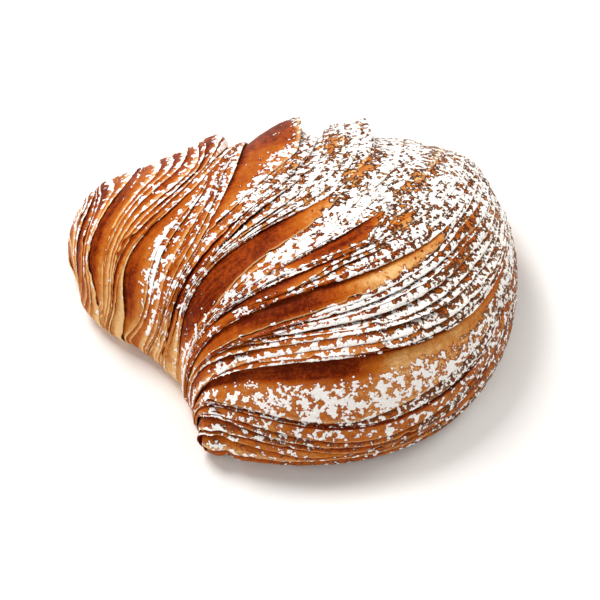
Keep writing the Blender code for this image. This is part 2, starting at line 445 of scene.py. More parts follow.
def lobe_share(fan):
    """1 on the left lobe, 0 on the rest."""
    return stretch(fan, LOBE)


def hinge_share(along):
    """1 by the hinge, where all the plies draw together."""
    return stretch(along, HINGE)


def cord_share(fan, along):
    """1 where the fine plies lie against each other like cords, with a painted highlight on their crests."""
    return np.maximum(lobe_share(fan), hinge_share(along) * (1 - smooth(0.80, 0.88, fan)))


def crown_share(fan, along):
    """1 on the broad crown, where the plies lie nearly flush under the sugar."""
    from_bands = smooth(0.40, 0.56, along - 0.22 * smooth(0.70, 0.76, fan))
    return from_bands * (1 - 0.5 * smooth(0.76, 0.84, along)) * stretch(fan, (0.47, 0.56, 0.84, 0.92))


RELIEF_ZONES = (
    Zone(-0.5, (0.36, 0.40, 0.47, 0.52), BODY),  # before the middle tooth
    Zone(0.9, (0.71, 0.75, 0.83, 0.86), up_to(0.46, 0.60)),  # the lines above the front
    Zone(0.9, onward(0.93, 0.96), onward(0.1, 0.2)),  # the lowest plies of the mouth
)


def fine_relief(fan, along):
    """How far apart fine plies stand, as a share: least on the lobe, by the hinge and on the crown."""
    packed = np.maximum(lobe_share(fan), hinge_share(along) * (1 - 0.4 * smooth(0.80, 0.88, fan)))
    relief = 1 - 0.7 * packed - 0.7 * crown_share(fan, along) + zones_at(RELIEF_ZONES, fan, along)
    return relief * (0.35 + 0.65 * smooth(-0.06, 0.08, along))


class Ply(NamedTuple):
    """One ply: where it comes out and where it ends along the fan, and how it lies."""

    root: np.ndarray
    edge: np.ndarray
    drop: np.ndarray  # how far below the free edge before it the ply comes out
    lift: np.ndarray  # height of that free edge over the body
    rise: np.ndarray  # height of the ply's own free edge over the body
    openness: np.ndarray  # 0 for a fine ply
    gold: np.ndarray  # 1 where an open ply's face is golden
    bare: np.ndarray  # share of its width without sugar
    curl: float = 0.0  # share of its rise by which the free edge bends back down
    first: float = -UNDER_ARCH  # where along the arch it starts and ends
    last: float = 1 + UNDER_ARCH


def bundle_of(
    dice, along, start, stop, count, lip=0.0, settle=0.0, widening=0.0, tooth=FLAT, under=UNDER_ARCH
):
    """Fine plies of uneven width between two lines along the fan, which climb from settle to lip."""
    uneven = 0.4 + 0.7 * (1 - smooth(0.05, 0.3, along))
    widths = []
    for k in range(count):
        swing = uneven * wander(dice, along, 7)
        widths.append(np.exp(swing + 0.25 * dice.normal() + widening * k / count))
    widths = np.array(widths)
    reached = np.concatenate([0 * widths[:1], np.cumsum(widths, 0)])
    lines = start + (stop - start) * reached / widths.sum(0)
    plies = []
    lift = settle + 0 * along
    for k in range(count):
        root, edge = lines[k], lines[k + 1]
        share = (k + 1) / count
        width = (edge - root) * fan_speed(root, along)
        parted = smooth(-0.7, 0.9, wander(dice, along, 12))
        own_drop = FINE_DROP + DROP_PER_WIDTH * np.minimum(width, WIDE_PLY)
        drop = 0.05 + own_drop * (0.2 + parted) * fine_relief(root, along)
        ripple = 0.14 * np.clip(wander(dice, along, 14), -1, 2)
        rise = ripple + lip * share**tooth.climb + settle * (1 - share)
        curl = tooth.curl if k == count - 1 else 0.0
        closed = 0 * along
        plies.append(Ply(root, edge, drop, lift, rise, closed, closed, closed + 0.5, curl, -under, 1 + under))
        lift = rise
    return plies


def runs_to_far_foot(band):
    """Whether the band is open to the far foot, so that its open ply itself ends in the next tooth."""
    return band.end > 1


def open_ply(dice, along, band, step, after, own_lip):
    """The ply that has slid out at a band, from its step towards the next band's."""
    speed = fan_speed(step, along)
    openness = opening(band, along)
    width = CLOSED_BAND + (band.width - CLOSED_BAND) * openness
    width *= 1 + 0.08 * wander(dice, along, 6)
    room = np.maximum(LEAST_OPEN * (after - step), after - step - band.bundle * FINE_LEAST / speed)
    edge = step + np.minimum(width / speed, room)
    flush = 1 - 0.75 * crown_share(step, along)
    drop = band.depth * openness**1.4 + (1 - openness) * (FINE_DROP + DROP_PER_WIDTH) * flush
    starts, ends = band.golden
    gold = stretch(along, (starts - 0.06, starts + 0.06, ends - 0.05, ends + 0.05))
    gold *= 0.45 + 0.2 * smooth(0.42, 0.46, step) + 0.35 * smooth(0.52, 0.56, step)
    lift = band.tooth.fill * lip_rise(band.tooth, along)
    rise = 0.15 * wander(dice, along, 12) + own_lip
    bare = band.bare + 0 * along
    if runs_to_far_foot(band):
        bare *= 1 - TOOTH_SUGAR * (1 - stretch(along, (0.63, 0.70, 0.80, 0.86)))
    return Ply(step, edge, drop, lift, rise, openness, gold, bare)


def lay_plies(along):
    """All plies from the tip to the sole below the mouth, in order, with the number each band starts at."""
    dice = np.random.default_rng(SEED)
    level = 0 * along
    lines = [step_line(band, along) for band in BANDS] + [level + 1]
    teeth = [band.tooth for band in BANDS] + [FLAT]
    plies = bundle_of(dice, along, level - UNDER_TIP, level, UNDER_TIP_PLIES, under=0.0)
    plies += bundle_of(dice, along, level, lines[0], TIP_PLIES)
    starts = []
    for number, band in enumerate(BANDS):
        starts.append(len(plies))
        after, tooth = lines[number + 1], teeth[number + 1]
        lip = lip_rise(tooth, along)
        own_lip = lip if runs_to_far_foot(band) else level
        ply = open_ply(dice, along, band, lines[number], after, own_lip)
        plies.append(ply)
        climb = lip - own_lip
        settle = TOOTH_FILL * own_lip
        plies += bundle_of(dice, along, ply.edge, after, band.bundle, climb, settle, band.widening, tooth)
    plies += bundle_of(dice, along, level + 1, level + 1 + UNDER_MOUTH, UNDER_MOUTH_PLIES, under=0.0)
    return plies, starts


class Spot(NamedTuple):
    """A place where the sugar is thicker than around it or, where its gain is below 0, thinner."""

    fan: float
    along: float
    fan_size: float
    along_size: float
    gain: float


SUGAR_SPOTS = (
    # The left lobe.
    Spot(0.040, 0.34, 0.030, 0.06, -0.08),
    Spot(0.130, 0.34, 0.040, 0.05, 0.16),
    # A streak beside the long open band at the lobe's root.
    Spot(0.360, 0.04, 0.010, 0.04, 0.30),
    Spot(0.378, 0.10, 0.010, 0.05, 0.34),
    Spot(0.402, 0.19, 0.008, 0.06, 0.30),
    Spot(0.411, 0.29, 0.009, 0.06, 0.36),
    Spot(0.404, 0.40, 0.011, 0.06, 0.26),
    # Thicker on the bundles between the open bands.
    Spot(0.500, 0.22, 0.025, 0.08, 0.07),
    Spot(0.620, 0.42, 0.020, 0.08, 0.20),
    Spot(0.640, 0.33, 0.030, 0.10, 0.07),
    Spot(0.700, 0.23, 0.025, 0.07, 0.06),
    Spot(0.760, 0.42, 0.030, 0.14, 0.14),
    # Golden gaps on the crown.
    Spot(0.510, 0.60, 0.012, 0.05, -0.30),
    Spot(0.538, 0.71, 0.010, 0.03, -0.34),
    Spot(0.582, 0.61, 0.012, 0.06, -0.44),
    Spot(0.650, 0.64, 0.010, 0.04, -0.34),
    Spot(0.652, 0.74, 0.012, 0.04, -0.32),
    Spot(0.683, 0.54, 0.014, 0.03, -0.38),
    Spot(0.745, 0.64, 0.010, 0.03, -0.36),
    Spot(0.768, 0.59, 0.010, 0.03, -0.36),
    Spot(0.868, 0.57, 0.020, 0.04, -0.30),
    # The mouth.
    Spot(0.895, 0.17, 0.010, 0.02, -0.20),
    Spot(0.900, 0.28, 0.025, 0.12, 0.10),
    Spot(0.960, 0.26, 0.012, 0.10, 0.06),
)
SUGAR_ZONES = (
    Zone(-0.16, LOBE, up_to(0.3, 0.55)),
    Zone(0.09, LOBE, onward(0.55, 0.7)),
    Zone(-0.15, (0.2, 0.25, 0.36, 0.40), up_to(0.3, 0.42)),  # the lobe's root
    Zone(0.06, onward(0.4, 0.5), onward(0.2, 0.45)),  # the broad side
    Zone(0.08, (0.40, 0.46, 0.50, 0.54), onward(0.45, 0.52)),  # the face of the middle tooth
    Zone(0.10, (0.45, 0.55, 0.64, 0.72), up_to(0.2, 0.4)),  # the near ends of the crown's bundles
    Zone(0.22, (0.47, 0.54, 0.60, 0.68), up_to(0.12, 0.26)),
    Zone(0.05, (0.68, 0.76, 0.86, 0.90), onward(0.45, 0.6)),  # the right side
    Zone(0.07, (0.70, 0.74, 0.80, 0.84), (0.14, 0.22, 0.46, 0.56)),  # the lines above the front
    Zone(-0.08, onward(0.86, 0.90), up_to(0.1, 0.2)),  # the mouth's near end
    Zone(0.01, onward(0.86, 0.92), onward(0.3, 0.45)),
    Zone(-0.3, EVERYWHERE, up_to(-0.08, 0.02)),  # round the near foot
    Zone(-0.3, EVERYWHERE, onward(0.82, 1.0)),  # and down to the far foot
)


def sugar_cover(fan, along, across, from_root, openness, up):
    """How much sugar lies at each place of a ply: most on the crown, little on faces and steep walls."""
    lobe, hinge, crown = lobe_share(fan), hinge_share(along), crown_share(fan, along)
    cover = 0.42 + 0.09 * crown + zones_at(SUGAR_ZONES, fan, along)
    for spot in SUGAR_SPOTS:
        off = ((fan - spot.fan) / spot.fan_size) ** 2 + ((along - spot.along) / spot.along_size) ** 2
        cover += spot.gain * np.exp(-off)
    steep = 1 - smooth(0.05, 0.45, up)
    lines = stretch(fan, (0.70, 0.74, 0.84, 0.88)) * (1 - hinge)
    to_crests = 0.04 + (0.14 + 0.26 * lines + 0.52 * np.maximum(lobe, hinge)) * (1 - openness)
    mouth_rims = smooth(0.84, 0.88, fan) * (1 - smooth(0.1, 0.16, along)) * smooth(0.6, 0.9, across)
    bare_face = smooth(0.0, 0.35, openness) * (1 - smooth(0.75, 1.15, from_root))
    return cover + to_crests * (across - 0.62) + 0.05 * mouth_rims - 0.12 * steep - 0.42 * bare_face


# Painted light and shade on the dough: lighter by the hinge and low on the near side of the left lobe, darker
# over the rest of the lobe.
LIGHT_AND_SHADE_ZONES = (
    Zone(-0.16, (0.15, 0.25, 0.64, 0.74), HINGE),
    Zone(0.26, LOBE, onward(0.32, 0.52)),
    Zone(-0.08, LOBE, up_to(0.2, 0.35)),
)


def toast_and_shading_at(fan, along, across, from_root, openness, gold, twist):
    """How dark the dough is baked, with painted shade where a ply comes out and a painted highlight at its
    free edge.
    """
    fine = 1 - openness
    cord = cord_share(fan, along)
    face = openness * (1 - smooth(0.6, 1.3, from_root))
    # Open faces are browner near their root: deeper baking, and painted shade in the recess under the step,
    # most on the front band by the hinge.
    front = smooth(0.76, 0.80, fan) * (1 - 0.5 * smooth(0.12, 0.22, along) - 0.5 * smooth(0.3, 0.5, along))
    brown_and_shaded_face = face * (1 - gold) * (0.47 + 0.30 * front)
    golden_face = (0.08 + 0.30 * smooth(0.60, 0.70, fan)) * openness * gold * smooth(0.0, 0.25, from_root)
    fold_shade = 0.34 * openness * (1 - smooth(0.0, 0.35, from_root))
    # Fine plies: painted shade at the root, under the free edge before them, fading to a paler free edge;
    # stronger at the front.
    root_to_edge_shading = fine * (0.42 + 0.25 * smooth(0.86, 0.92, fan)) * (0.5 - across)
    own = fine * (0.16 + 0.30 * cord) * (twist - 0.5)
    here = fine * (0.19 * smooth(0.80, 0.86, fan) - 0.24 * crown_share(fan, along))
    here += zones_at(LIGHT_AND_SHADE_ZONES, fan, along)
    here *= 1 - 0.8 * openness
    # Painted highlight: the crests of packed plies, and the free rims at the mouth's near end, are painted
    # paler.
    crest_highlight = 0.22 * (1 - np.minimum(3 * openness, 1)) * cord * smooth(0.45, 0.95, across)
    mouth_rims = smooth(0.84, 0.88, fan) * (1 - smooth(0.08, 0.18, along)) * smooth(0.75, 0.95, across)
    darker = brown_and_shaded_face + fold_shade + root_to_edge_shading + own + here
    return 0.50 + darker - golden_face - crest_highlight - 0.35 * mouth_rims


def mouth_end_height(root, along, share):
    """How far the near end of a mouth ply stands out of its usual place, at a share of its width."""
    curl = MOUTH_END_CURL * (1 - smooth(0.05, 0.18, along)) * (share - 0.35)
    crease = MOUTH_CREASE * np.exp(-(((along - CREASE_AT) / CREASE_WIDTH) ** 2))
    return smooth(MOUTH_START, MOUTH_FULL, root) * (curl - crease)


def ply_sheet(ply, along, twist):
    """The upper face of one ply as a grid of points, with the values its looks need at each point."""
    *values, curl, first, last = ply
    keep = (along >= first - 1e-6) & (along <= last + 1e-6)
    places = along[keep]
    root, edge, drop, lift, rise, openness, gold, bare = (value[keep] for value in values)
    rows = OPEN_ROWS if openness.max() > 0.05 or curl > 0 else FINE_ROWS
    climb = 2 - 0.8 * smooth(1.0, 3.0, rise.max()) * smooth(0.3, 0.6, openness)
    bend = BAND_BEND * openness + FINE_BEND * (1 - openness)
    tuck = root - TUCK / fan_speed(root, places)
    fans, depths, across = [np.maximum(tuck, -UNDER_TIP)], [drop - lift + TUCK_DROP], [0 * places]
    for t in rows:
        fans.append(root + (edge - root) * t)
        roll = EDGE_ROLL * smooth(0.7, 1.0, t)
        curled = t**climb - curl * smooth(0.6, 1.0, t)
        height = lift * (1 - t**2) + rise * curled + mouth_end_height(root, places, t)
        depths.append(drop * (1 - t) ** bend + roll - height)
        across.append(0 * places + t)
    fans, depths, across = np.array(fans), np.array(depths), np.array(across)
    on_grid = (np.broadcast_to(value, fans.shape) for value in (places, openness, gold, bare))
    places, openness, gold, bare = on_grid
    from_root = across / bare
    point, normal, outrun = shell_frame(fans, places)
    far = smooth(0.36, 0.54, places) * smooth(0.44, 0.56, fans)
    front_grain = 0.35 * smooth(0.80, 0.86, fans) * (1 - 0.8 * openness)
    lay = (places * ARCH_REACH, across * (edge - root) * FAN_REACH, 0 * fans + twist * LAY_APART)
    return {
        "points": point - normal * depths[..., None],
        "outrun": outrun,
        "edge": across,
        "sugar": sugar_cover(fans, places, across, from_root, openness, normal[..., 2]),
        "toast": toast_and_shading_at(fans, places, across, from_root, openness, gold, twist),
        "ply": 0 * fans + twist,
        # grain: how grainy the sugar is; it also sets how dark the painted shadow round its blots is.
        "grain": np.maximum(far * (1 - 0.7 * openness), front_grain),
        "flush": crown_share(fans, places),
        "dust": 0.08 * far + 0.12 * smooth(0.74, 0.80, fans),
        "cord": cord_share(fans, places),
        "open": np.minimum(4 * openness, 1),
        "lay": np.stack(lay, -1),
    }


def grid_faces(rows, columns, start):
    """Corner numbers of a grid's faces, turned so that they point out of the body."""
    i, j = np.meshgrid(np.arange(rows - 1), np.arange(columns - 1), indexing="ij")
    a = start + i * columns + j
    return np.stack([a, a + columns, a + columns + 1, a + 1], -1).reshape(-1, 4)


def join_sheets(name, sheets, shift):
    """One mesh object from many sheets, with their values as attributes."""
    faces, count = [], 0
    for sheet in sheets:
        rows, columns = sheet["edge"].shape
        faces.append(grid_faces(rows, columns, count))
        count += rows * columns
    flat = {key: np.concatenate([s[key].reshape(-1, *s[key].shape[2:]) for s in sheets]) for key in sheets[0]}
    points = (flat.pop("points") + shift) * MM
    faces = np.concatenate(faces)
    mesh = bpy.data.meshes.new(name)
    mesh.vertices.add(len(points))
    mesh.vertices.foreach_set("co", points.astype(np.float32).ravel())
    mesh.loops.add(faces.size)
    mesh.loops.foreach_set("vertex_index", faces.astype(np.int32).ravel())
    mesh.polygons.add(len(faces))
    mesh.polygons.foreach_set("loop_start", np.arange(0, faces.size, 4, dtype=np.int32))
    mesh.update(calc_edges=True)
    for key, values in flat.items():
        kind, field = ("FLOAT_VECTOR", "vector") if values.ndim > 1 else ("FLOAT", "value")
        mesh.attributes.new(key, kind, "POINT").data.foreach_set(field, values.astype(np.float32).ravel())
    return new_object(name, mesh)


class Tree:
    """A node group that is built node by node."""

    def __init__(self, group):
        self.group = group

    def socket(self, name, value, kind="NodeSocketFloat"):
        """A named input, with the value that it has unless a modifier sets another."""
        self.group.interface.new_socket(name, in_out="INPUT", socket_type=kind).default_value = value

    def node(self, kind, settings=None, **inputs):
        made = self.group.nodes.new(kind)
        for key, value in (settings or {}).items():
            setattr(made, key, value)
        for key, value in inputs.items():
            self.feed(made, key.replace("_", " "), value)
        return made

    def feed(self, node, key, value):
        """Sets or links one input, found by its name or, where that is used twice, by its number."""
        if isinstance(value, bpy.types.Node):
            value = value.outputs[0]
        if isinstance(value, bpy.types.NodeSocket):
            self.group.links.new(value, node.inputs[key])
        else:
            node.inputs[key].default_value = value

    def math(self, operation, *values):
        node = self.node("ShaderNodeMath", {"operation": operation})
        for number, value in enumerate(values):
            self.feed(node, number, value)
        return node.outputs[0]

    def plus(self, first, second):
        return self.math("ADD", first, second)

    def minus(self, first, second):
        return self.math("SUBTRACT", first, second)

    def times(self, first, second):
        return self.math("MULTIPLY", first, second)

    def add_vectors(self, first, second):
        node = self.node("ShaderNodeVectorMath", {"operation": "ADD"})
        self.feed(node, 0, first)
        self.feed(node, 1, second)
        return node.outputs["Vector"]

    def scaled(self, vector, scale):
        settings = {"operation": "SCALE"}
        return self.node("ShaderNodeVectorMath", settings, Vector=vector, Scale=scale).outputs["Vector"]

    def noise(self, place, scale, detail, roughness=0.55):
        inputs = {"Vector": place, "Scale": scale, "Detail": detail, "Roughness": roughness}
        return self.node("ShaderNodeTexNoise", **inputs).outputs[0]


def geometry_tree(name):
    """A new Geometry Nodes tree with its geometry sockets."""
    tree = Tree(bpy.data.node_groups.new(name, "GeometryNodeTree"))
    for in_out in ("OUTPUT", "INPUT"):
        tree.group.interface.new_socket("Geometry", in_out=in_out, socket_type="NodeSocketGeometry")
    return tree


def end_tree(tree, geometry, material):
    """Makes all instances real, shades them smooth, gives them their material and hands them out."""
    realized = tree.node("GeometryNodeRealizeInstances", Geometry=geometry)
    rounded = tree.node("GeometryNodeSetShadeSmooth", Geometry=realized)
    finished = tree.node("GeometryNodeSetMaterial", Geometry=rounded, Material=material)
    tree.feed(tree.node("NodeGroupOutput"), "Geometry", finished)


def named_value(tree, name, kind="FLOAT"):
    return tree.node("GeometryNodeInputNamedAttribute", {"data_type": kind}, Name=name).outputs["Attribute"]


def ply_tree(material):
    """Turns a ply's face into a closed thin leaf: crinkled, with a ragged free edge."""
    tree = geometry_tree("thin_ply")
    tree.socket("Thickness", PLY_THICKNESS * MM)
    tree.socket("Crinkle height", 0.16 * MM)
    tree.socket("Crinkle size", 2.6 * MM)
    tree.socket("Ragged depth", 0.4 * MM)
    tree.socket("Ragged size", 2.0 * MM)
    tree.socket("Chip depth", 0.7 * MM)
    tree.socket("Chip size", 5.0 * MM)
    tree.socket("Seed", CRINKLE_SEED)
    given = tree.node("NodeGroupInput").outputs
    place = tree.node("GeometryNodeInputPosition")
    normal = tree.node("GeometryNodeInputNormal")
    edge = named_value(tree, "edge")
    outrun = named_value(tree, "outrun", "FLOAT_VECTOR")
    own_seed = tree.plus(given["Seed"], tree.times(named_value(tree, "ply"), 9.0))
    thinning = tree.minus(1.0, tree.times(named_value(tree, "cord"), 0.45))
    thickness = tree.times(given["Thickness"], thinning)

    def bumps(size, seed, detail, middle):
        scale = tree.math("DIVIDE", 1.0, size)
        settings = {"noise_dimensions": "4D"}
        noise = tree.node("ShaderNodeTexNoise", settings, Vector=place, W=seed, Scale=scale, Detail=detail)
        return tree.minus(noise, middle)

    crinkle = bumps(given["Crinkle size"], given["Seed"], 2.0, 0.5)
    crinkle = tree.times(crinkle, tree.times(given["Crinkle height"], 3.0))
    crinkle = tree.times(crinkle, tree.plus(edge, 0.4))
    ragged = bumps(given["Ragged size"], own_seed, 3.0, 0.55)
    ragged = tree.times(ragged, tree.times(given["Ragged depth"], 2.0))
    ragged = tree.times(ragged, tree.math("POWER", edge, 4.0))
    chip = tree.math("MAXIMUM", bumps(given["Chip size"], own_seed, 1.0, 0.62), 0.0)
    chip = tree.times(chip, tree.times(given["Chip depth"], 12.0))
    chip = tree.times(tree.math("MINIMUM", chip, given["Chip depth"]), tree.math("POWER", edge, 2.0))
    ragged = tree.minus(ragged, chip)
    sink = tree.minus(crinkle, thickness)
    shift = tree.add_vectors(tree.scaled(normal, sink), tree.scaled(outrun, ragged))
    moved = tree.node("GeometryNodeSetPosition", Geometry=given["Geometry"], Offset=shift)
    lifted = tree.node("GeometryNodeExtrudeMesh", Mesh=moved, Offset_Scale=thickness, Individual=False)
    marked = tree.node(
        "GeometryNodeStoreNamedAttribute",
        {"data_type": "FLOAT", "domain": "FACE"},
        Geometry=lifted,
        Name="outer",
        Value=lifted.outputs["Top"],
    )
    joined = tree.node("GeometryNodeJoinGeometry")
    tree.feed(joined, "Geometry", tree.node("GeometryNodeFlipFaces", Mesh=moved))
    tree.feed(joined, "Geometry", marked)
    welded = tree.node("GeometryNodeMergeByDistance", Geometry=joined, Distance=PLY_WELD * MM)
    at = tree.node("ShaderNodeSeparateXYZ", Vector=place)
    resting = tree.math("MAXIMUM", at.outputs["Z"], PLY_FLOOR * MM)
    level = tree.node("ShaderNodeCombineXYZ", X=at.outputs["X"], Y=at.outputs["Y"], Z=resting)
    grounded = tree.node("GeometryNodeSetPosition", Geometry=welded, Position=level)
    end_tree(tree, grounded, material)
    return tree.group


class Noise(NamedTuple):
    """One layer of the sugar's blots."""

    scale: float
    detail: float
    gain: float
    finer: float  # added to its gain where the sugar is grainy


SUGAR_NOISES = (
    Noise(150.0, 1.0, 0.35, 0.0),
    Noise(560.0, 1.0, 1.35, -0.25),
    Noise(1100.0, 2.0, 0.6, 0.7),
)


def sugar_field(tree, place, cover, grain):
    """Over about 0.5 where sugar lies. The shader and the scattered grains read the same field."""
    for layer in SUGAR_NOISES:
        texture = tree.noise(place, layer.scale, layer.detail, 0.6)
        gain = tree.plus(layer.gain, tree.times(grain, layer.finer))
        cover = tree.plus(cover, tree.times(tree.minus(texture, 0.5), gain))
    return cover


def powder_tree(plies, material):
    """Scatters grains on all plies, over the outer faces where the sugar lies."""
    tree = geometry_tree("powder")
    tree.socket("Grain size", GRAIN_SIZE * MM)
    tree.socket("Spacing", GRAIN_SPACING * MM)
    tree.socket("Flatness", GRAIN_FLATNESS)
    tree.socket("Seed", SEED, "NodeSocketInt")
    given = tree.node("NodeGroupInput").outputs
    dusted = tree.node("GeometryNodeJoinGeometry")
    for ply in plies:
        tree.feed(dusted, "Geometry", tree.node("GeometryNodeObjectInfo", Object=ply).outputs["Geometry"])
    place = tree.node("GeometryNodeInputPosition")
    cover = sugar_field(tree, place, named_value(tree, "sugar"), named_value(tree, "grain"))
    up = tree.node("ShaderNodeSeparateXYZ", Vector=tree.node("GeometryNodeInputNormal")).outputs["Z"]
    allowed = tree.times(named_value(tree, "outer"), tree.math("GREATER_THAN", up, GRAINS_UPWARD))
    points = tree.node(
        "GeometryNodeDistributePointsOnFaces",
        {"distribute_method": "POISSON"},
        Mesh=dusted,
        Distance_Min=given["Spacing"],
        Density_Max=GRAIN_DENSITY,
        Density_Factor=tree.times(allowed, tree.math("GREATER_THAN", cover, GRAINS_FROM)),
        Seed=given["Seed"],
    )
    grain = tree.node("GeometryNodeMeshIcoSphere", Radius=1.0, Subdivisions=1)
    girth = tree.node("FunctionNodeRandomValue", {"data_type": "FLOAT"}, Seed=given["Seed"])
    tree.feed(girth, 2, SMALLEST_GRAIN)
    tree.feed(girth, 3, 1.0)
    width = tree.times(girth.outputs[1], given["Grain size"])
    height = tree.times(width, given["Flatness"])
    shape = tree.node("ShaderNodeCombineXYZ", X=width, Y=width, Z=height)
    placed = tree.node(
        "GeometryNodeInstanceOnPoints",
        Points=points.outputs["Points"],
        Instance=grain,
        Rotation=points.outputs["Rotation"],
        Scale=shape,
    )
    end_tree(tree, placed, material)
    return tree.group


def run_tree(item, group, **values):
    """Runs a tree on an object, with the named inputs set, and returns the plain mesh that it makes."""
    modifier = item.modifiers.new(group.name, "NODES")
    modifier.node_group = group
    for socket in group.interface.items_tree:
        if socket.in_out == "INPUT" and socket.name in values:
            modifier[socket.identifier] = values[socket.name]
    graph = bpy.context.evaluated_depsgraph_get()
    made = bpy.data.meshes.new_from_object(item.evaluated_get(graph), depsgraph=graph)
    item.modifiers.remove(modifier)
    return made


class Paint:
    """A Principled material whose node tree is built with Tree's helpers."""

    def __init__(self, name):
        self.material = bpy.data.materials.new(name)
        self.material.use_nodes = True
        self.tree = Tree(self.material.node_tree)
        self.shader = self.material.node_tree.nodes["Principled BSDF"]

    def place(self):
        return self.tree.node("ShaderNodeTexCoord").outputs["Object"]

    def value(self, name, output="Fac"):
        return self.tree.node("ShaderNodeAttribute", {"attribute_name": name}).outputs[output]

    def set(self, name, value):
        self.tree.feed(self.shader, name, value)

    def bump(self, height, strength, depth):
        """Low relief of the given depth, in millimetres."""
        relief = self.tree.node("ShaderNodeBump", Strength=strength, Distance=depth * MM, Height=height)
        self.set("Normal", relief)

    def blend(self, amount, low, high):
        mix = self.tree.node("ShaderNodeMix", {"data_type": "RGBA"})
        self.tree.feed(mix, 0, amount)
        for number, value in ((6, low), (7, high)):
            self.tree.feed(mix, number, (*value, 1) if isinstance(value, tuple) else value)
        return mix.outputs[2]

    def ramp(self, value, stops):
        node = self.tree.node("ShaderNodeValToRGB", Fac=value)
        elements = node.color_ramp.elements
        while len(elements) < len(stops):
            elements.new(0.5)
        for element, (at, color) in zip(elements, stops):
            element.position = at
            element.color = (*color, 1)
        return node.outputs["Color"]

    def rise(self, value, low, high):
        return self.tree.node("ShaderNodeMapRange", Value=value, From_Min=low, From_Max=high).outputs[0]


CRUMB_PALE = (0.80, 0.50, 0.22)
CRUMB_GOLD = (0.58, 0.265, 0.075)
CRUMB_ORANGE = (0.46, 0.118, 0.010)
CRUMB_BROWN = (0.29, 0.042, 0.003)
CRUMB_DARK = (0.11, 0.010, 0.001)
# Near-black, for the painted shadow round the sugar blots.
CRUMB_IN_SHADOW = (0.030, 0.009, 0.003)
BAKING = (
    (0.05, CRUMB_PALE),
    (0.28, CRUMB_GOLD),
    (0.52, CRUMB_ORANGE),
    (0.82, CRUMB_BROWN),
    (1.0, CRUMB_DARK),
)
SUGARED_CRUMB = (0.78, 0.47, 0.23)
SUGAR_WHITE = (0.93, 0.905, 0.88)


def dough_paint():
    """Baked ply: toasted by attribute with painted shade and highlights, freckled, and with sugar in blots.
    """
    paint = Paint("baked_ply")
    tree = paint.tree
    place = paint.place()
    along_ply = tree.node("ShaderNodeMapping", Vector=paint.value("lay", "Vector"), Scale=(0.08, 0.5, 1.0))
    outer, cord, grain, dust = (paint.value(name) for name in ("outer", "cord", "grain", "dust"))
    streaks = tree.noise(along_ply, 2.2, 3.0)
    patches = tree.noise(place, 110.0, 2.0)
    crumbs = tree.noise(place, 620.0, 3.0, 0.6)
    freckles = tree.noise(place, 1700.0, 2.0, 0.6)

    # How dark it is baked, with painted shade on its cut and inner sides between the plies, and a painted
    # shadow in a rim round each blot of sugar.
    gap_shade = tree.times(tree.minus(1.0, outer), tree.minus(0.4, tree.times(cord, 0.28)))
    toast = tree.plus(tree.math("MINIMUM", paint.value("toast"), 0.93), gap_shade)
    for texture, gain in ((patches, 0.45), (streaks, 0.35), (crumbs, 0.40), (freckles, 0.35)):
        toast = tree.plus(toast, tree.times(tree.minus(texture, 0.5), gain))
    cover = sugar_field(tree, place, paint.value("sugar"), grain)
    # Painted shadow round each blot of sugar: darker dough, and near-black where the sugar is grainy.
    blot_shadow_start = tree.minus(0.32, tree.times(grain, 0.14))
    blot_shadow_full = tree.minus(0.46, tree.times(grain, 0.12))
    blot_shadow = tree.times(paint.rise(cover, blot_shadow_start, blot_shadow_full), tree.plus(0.22, tree.times(grain, 0.75)))
    dough = paint.ramp(tree.plus(toast, blot_shadow), BAKING)
    dough = paint.blend(tree.times(blot_shadow, tree.times(grain, 0.75)), dough, CRUMB_IN_SHADOW)

    # The painted highlight on the free edge, then the veil of fine dust, then the white blots.
    highlight_start = tree.minus(0.74, tree.times(cord, 0.22))
    highlight_start = tree.math("MAXIMUM", highlight_start, tree.times(paint.value("open"), 0.93))
    lip = paint.rise(paint.value("edge"), highlight_start, 0.97)
    highlight_strength = tree.times(outer, tree.minus(0.7, tree.times(dust, 3.0)))
    dough = paint.blend(tree.times(lip, highlight_strength), dough, CRUMB_PALE)
    veil = tree.times(paint.rise(cover, 0.20, 0.50), tree.times(dust, outer))
    dough = paint.blend(veil, dough, SUGARED_CRUMB)
    powder = tree.times(paint.rise(cover, 0.485, 0.53), tree.math("MAXIMUM", outer, paint.value("flush")))
    paint.set("Base Color", paint.blend(powder, dough, SUGAR_WHITE))
    paint.set("Roughness", tree.plus(0.5, tree.times(powder, 0.45)))
    paint.set("Specular IOR Level", 0.035)
    grit = tree.noise(place, 5200.0, 2.0)
    height = tree.plus(tree.times(powder, tree.plus(0.5, grit)), patches)
    paint.bump(tree.plus(height, tree.times(streaks, 0.5)), 0.5, 0.12)
    return paint.material


def core_paint():
    """The dough deep between the plies."""
    paint = Paint("inner_dough")
    patches = paint.tree.noise(paint.place(), 260.0, 4.0)
    colors = ((0.3, CRUMB_BROWN), (0.55, CRUMB_ORANGE), (0.8, CRUMB_GOLD))
    paint.set("Base Color", paint.ramp(patches, colors))
    paint.set("Roughness", 0.6)
    paint.bump(patches, 0.6, 0.3)
    return paint.material


def sugar_paint():
    """Icing sugar: white and dull, with fine grit."""
    paint = Paint("icing_sugar")
    grit = paint.tree.noise(paint.place(), 4000.0, 2.0)
    paint.set("Base Color", paint.ramp(grit, ((0.3, (0.86, 0.84, 0.81)), (0.6, (0.96, 0.95, 0.94)))))
    paint.set("Roughness", 0.85)
    paint.bump(grit, 0.4, 0.05)
    return paint.material


def new_object(name, mesh):
    item = bpy.data.objects.new(name, mesh)
    bpy.context.scene.collection.objects.link(item)
    return item


def finish_piece(item, mesh):
    """Gives an object its finished mesh and attaches it to the body that it rides on."""
    item.data = mesh
    mesh.name = item.name
    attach(item, "root")


